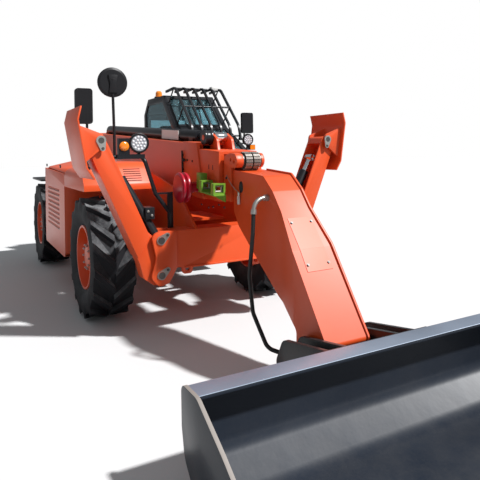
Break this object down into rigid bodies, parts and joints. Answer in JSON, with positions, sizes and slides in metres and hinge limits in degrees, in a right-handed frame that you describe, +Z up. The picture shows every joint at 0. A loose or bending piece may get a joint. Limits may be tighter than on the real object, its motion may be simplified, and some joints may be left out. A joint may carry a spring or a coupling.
{
  "type": "telehandler",
  "caption": "Telehandler with a sectioned telescoping boom beside its cab, a loading bucket, four steered lugged wheels and swing-down front stabilizers.",
  "frame": {"origin": "on the ground under the middle of the machine's length and width", "axes": "+X forward along the boom, +Y to the machine's left, +Z up"},
  "size_m": [7.98, 2.6949, 2.5112],
  "materials": {
    "orange_paint": "gloss orange enamel",
    "black_paint": "satin black enamel",
    "rod_chrome": "ground hard chrome",
    "fender_plastic": "moulded black",
    "cast_weight": "painted casting",
    "engine_iron": "dark engine enamel",
    "tinted_glass": "blue tint",
    "seat_fabric": "woven",
    "bucket_paint": "dark grey, worn",
    "reel_paint": "crimson",
    "guide_paint": "green",
    "chain_steel": "oiled",
    "mirror_plastic": "moulded black",
    "amber_lens": "clear amber",
    "hose_rubber": "smooth black",
    "tyre": "dusty rubber"
  },
  "bodies": {
    "chassis": {"main_frame": "orange_paint", "front_crossbeam": "orange_paint", "counterweight": "cast_weight", "front_axle": "orange_paint", "rear_axle": "orange_paint", "engine_block": "engine_iron", "engine_pod": "orange_paint", "drive_shaft": "black_paint", "cab_shell": "black_paint", "cab_glass": "tinted_glass", "cab_guard": "black_paint", "seat": "seat_fabric", "console": "black_paint", "front_fender_left": "fender_plastic", "rear_fenders": "fender_plastic", "fuel_tank": "black_paint", "lamps": "black_paint", "mirrors": "mirror_plastic", "beacon": "amber_lens"},
    "engine_hood": {"engine_hood": "orange_paint"},
    "cab_door": {"door_frame": "black_paint", "door_glass": "tinted_glass"},
    "boom_outer": {"boom_outer": "orange_paint", "extension_barrel": "black_paint", "hose_reel": "reel_paint"},
    "boom_second": {"boom_second": "orange_paint", "extension_rod": "rod_chrome", "hose_guide": "guide_paint"},
    "boom_third": {"boom_third": "orange_paint", "chain_drum": "chain_steel"},
    "boom_inner": {"boom_inner": "orange_paint", "neck_hose": "hose_rubber"},
    "bucket": {"coupler": "black_paint", "bucket": "bucket_paint"},
    "lift_barrel": {"lift_barrel": "black_paint"},
    "lift_rod": {"lift_rod": "rod_chrome"},
    "tilt_barrel": {"tilt_barrel": "black_paint"},
    "tilt_rod": {"tilt_rod": "rod_chrome"},
    "knuckle_front_left": {"knuckle_fl": "black_paint"},
    "wheel_front_left": {"rim_fl": "orange_paint", "tyre_fl": "tyre"},
    "knuckle_front_right": {"knuckle_fr": "black_paint"},
    "wheel_front_right": {"rim_fr": "orange_paint", "tyre_fr": "tyre"},
    "knuckle_rear_left": {"knuckle_rl": "black_paint"},
    "wheel_rear_left": {"rim_rl": "orange_paint", "tyre_rl": "tyre"},
    "knuckle_rear_right": {"knuckle_rr": "black_paint"},
    "wheel_rear_right": {"rim_rr": "orange_paint", "tyre_rr": "tyre"},
    "stabilizer_left": {"stabilizer_arm_left": "orange_paint"},
    "stabilizer_foot_left": {"stabilizer_foot_left": "orange_paint"},
    "stabilizer_barrel_left": {"stabilizer_barrel_left": "black_paint"},
    "stabilizer_rod_left": {"stabilizer_rod_left": "rod_chrome"},
    "stabilizer_right": {"stabilizer_arm_right": "orange_paint"},
    "stabilizer_foot_right": {"stabilizer_foot_right": "orange_paint"},
    "stabilizer_barrel_right": {"stabilizer_barrel_right": "black_paint"},
    "stabilizer_rod_right": {"stabilizer_rod_right": "rod_chrome"}
  },
  "joints": [
    {"name": "steer_front", "type": "hinge", "parent": "chassis", "child": "knuckle_front_left", "pos_m": [0.11, 0.69, 0.59], "axis": [0, 0, 1], "range_deg": [-30, 30]},
    {"name": "wheel_front_left_spin", "type": "hinge", "parent": "knuckle_front_left", "child": "wheel_front_left", "pos_m": [0.11, 0.905, 0.59], "axis": [0, 1, 0], "continuous": true},
    {"name": "steer_front_right", "type": "hinge", "parent": "chassis", "child": "knuckle_front_right", "pos_m": [0.11, -0.69, 0.59], "axis": [0, 0, 1], "range_deg": [-30.5, 30.5]},
    {"name": "wheel_front_right_spin", "type": "hinge", "parent": "knuckle_front_right", "child": "wheel_front_right", "pos_m": [0.11, -0.905, 0.59], "axis": [0, 1, 0], "continuous": true},
    {"name": "steer_rear", "type": "hinge", "parent": "chassis", "child": "knuckle_rear_left", "pos_m": [-2.89, 0.69, 0.59], "axis": [0, 0, 1], "range_deg": [-30, 30]},
    {"name": "wheel_rear_left_spin", "type": "hinge", "parent": "knuckle_rear_left", "child": "wheel_rear_left", "pos_m": [-2.89, 0.905, 0.59], "axis": [0, 1, 0], "continuous": true},
    {"name": "steer_rear_right", "type": "hinge", "parent": "chassis", "child": "knuckle_rear_right", "pos_m": [-2.89, -0.69, 0.59], "axis": [0, 0, 1], "range_deg": [-30.5, 30.5]},
    {"name": "wheel_rear_right_spin", "type": "hinge", "parent": "knuckle_rear_right", "child": "wheel_rear_right", "pos_m": [-2.89, -0.905, 0.59], "axis": [0, 1, 0], "continuous": true},
    {"name": "boom_lift", "type": "hinge", "parent": "chassis", "child": "boom_outer", "pos_m": [-3.24, 0, 1.7], "axis": [0, -1, 0], "range_deg": [0, 65]},
    {"name": "boom_extend", "type": "slide", "parent": "boom_outer", "child": "boom_second", "axis": [0.998, 0, -0.0628], "range_m": [0, 2.4]},
    {"name": "boom_third_slide", "type": "slide", "parent": "boom_second", "child": "boom_third", "axis": [0.998, 0, -0.0628], "range_m": [0, 2.41]},
    {"name": "boom_inner_slide", "type": "slide", "parent": "boom_third", "child": "boom_inner", "axis": [0.998, 0, -0.0628], "range_m": [0, 2.41]},
    {"name": "bucket_tilt", "type": "hinge", "parent": "boom_inner", "child": "bucket", "pos_m": [2.51, 0, 0.22], "axis": [0, -1, 0], "range_deg": [-60, 40]},
    {"name": "lift_barrel_swing", "type": "hinge", "parent": "chassis", "child": "lift_barrel", "pos_m": [-2.99, 0, 0.95], "axis": [0, -1, 0], "range_deg": [0, 56.66]},
    {"name": "lift_rod_slide", "type": "slide", "parent": "lift_barrel", "child": "lift_rod", "axis": [0.9782, 0, 0.2079], "range_m": [0, 0.79703]},
    {"name": "tilt_barrel_swing", "type": "hinge", "parent": "boom_inner", "child": "tilt_barrel", "pos_m": [2.16, 0, 0.98], "axis": [0, -1, 0], "range_deg": [-1.3, 0.9]},
    {"name": "tilt_rod_slide", "type": "slide", "parent": "tilt_barrel", "child": "tilt_rod", "axis": [0.622, 0, -0.783], "range_m": [-0.12487, 0.18631]},
    {"name": "stabilizer_left_swing", "type": "hinge", "parent": "chassis", "child": "stabilizer_left", "pos_m": [0.9875, 0.63, 0.555], "axis": [-1, 0, 0], "range_deg": [0, 83]},
    {"name": "stabilizer_foot_left_swivel", "type": "hinge", "parent": "stabilizer_left", "child": "stabilizer_foot_left", "pos_m": [0.9875, 1.13, 1.7], "axis": [1, 0, 0], "range_deg": [-8, 8]},
    {"name": "stabilizer_barrel_left_swing", "type": "hinge", "parent": "chassis", "child": "stabilizer_barrel_left", "pos_m": [0.9875, 0.63, 0.85], "axis": [-1, 0, 0], "range_deg": [0, 89.62]},
    {"name": "stabilizer_rod_left_slide", "type": "slide", "parent": "stabilizer_barrel_left", "child": "stabilizer_rod_left", "axis": [0, 0.5029, 0.8644], "range_m": [0, 0.38172]},
    {"name": "stabilizer_right_swing", "type": "hinge", "parent": "chassis", "child": "stabilizer_right", "pos_m": [0.9875, -0.63, 0.555], "axis": [1, 0, 0], "range_deg": [0, 83]},
    {"name": "stabilizer_foot_right_swivel", "type": "hinge", "parent": "stabilizer_right", "child": "stabilizer_foot_right", "pos_m": [0.9875, -1.13, 1.7], "axis": [1, 0, 0], "range_deg": [-8, 8]},
    {"name": "stabilizer_barrel_right_swing", "type": "hinge", "parent": "chassis", "child": "stabilizer_barrel_right", "pos_m": [0.9875, -0.63, 0.85], "axis": [1, 0, 0], "range_deg": [0, 89.62]},
    {"name": "stabilizer_rod_right_slide", "type": "slide", "parent": "stabilizer_barrel_right", "child": "stabilizer_rod_right", "axis": [0, -0.5029, 0.8644], "range_m": [0, 0.38172]},
    {"name": "cab_door_swing", "type": "hinge", "parent": "chassis", "child": "cab_door", "pos_m": [-2.333, 1.203, 1.5], "axis": [0, 0, 1], "range_deg": [0, 90]},
    {"name": "engine_hood_lift", "type": "hinge", "parent": "chassis", "child": "engine_hood", "pos_m": [-1.39, -0.424, 1.474], "axis": [-1, 0, 0], "range_deg": [0, 60]}
  ],
  "couplings": [
    {"joint": "steer_front_right", "follows": "steer_front", "ratio": 1},
    {"joint": "steer_rear_right", "follows": "steer_rear", "ratio": 1},
    {"joint": "boom_third_slide", "follows": "boom_extend", "ratio": 1},
    {"joint": "boom_inner_slide", "follows": "boom_extend", "ratio": 1},
    {"joint": "lift_barrel_swing", "follows": "boom_lift", "ratio": 0.86394},
    {"joint": "lift_rod_slide", "follows": "boom_lift", "m_per_rad": 0.69815},
    {"joint": "tilt_barrel_swing", "follows": "bucket_tilt", "ratio": 0.02},
    {"joint": "tilt_rod_slide", "follows": "bucket_tilt", "m_per_rad": -0.176},
    {"joint": "stabilizer_barrel_left_swing", "follows": "stabilizer_left_swing", "ratio": 1.0737},
    {"joint": "stabilizer_rod_left_slide", "follows": "stabilizer_left_swing", "m_per_rad": 0.26074},
    {"joint": "stabilizer_barrel_right_swing", "follows": "stabilizer_right_swing", "ratio": 1.0737},
    {"joint": "stabilizer_rod_right_slide", "follows": "stabilizer_right_swing", "m_per_rad": 0.26074}
  ]
}
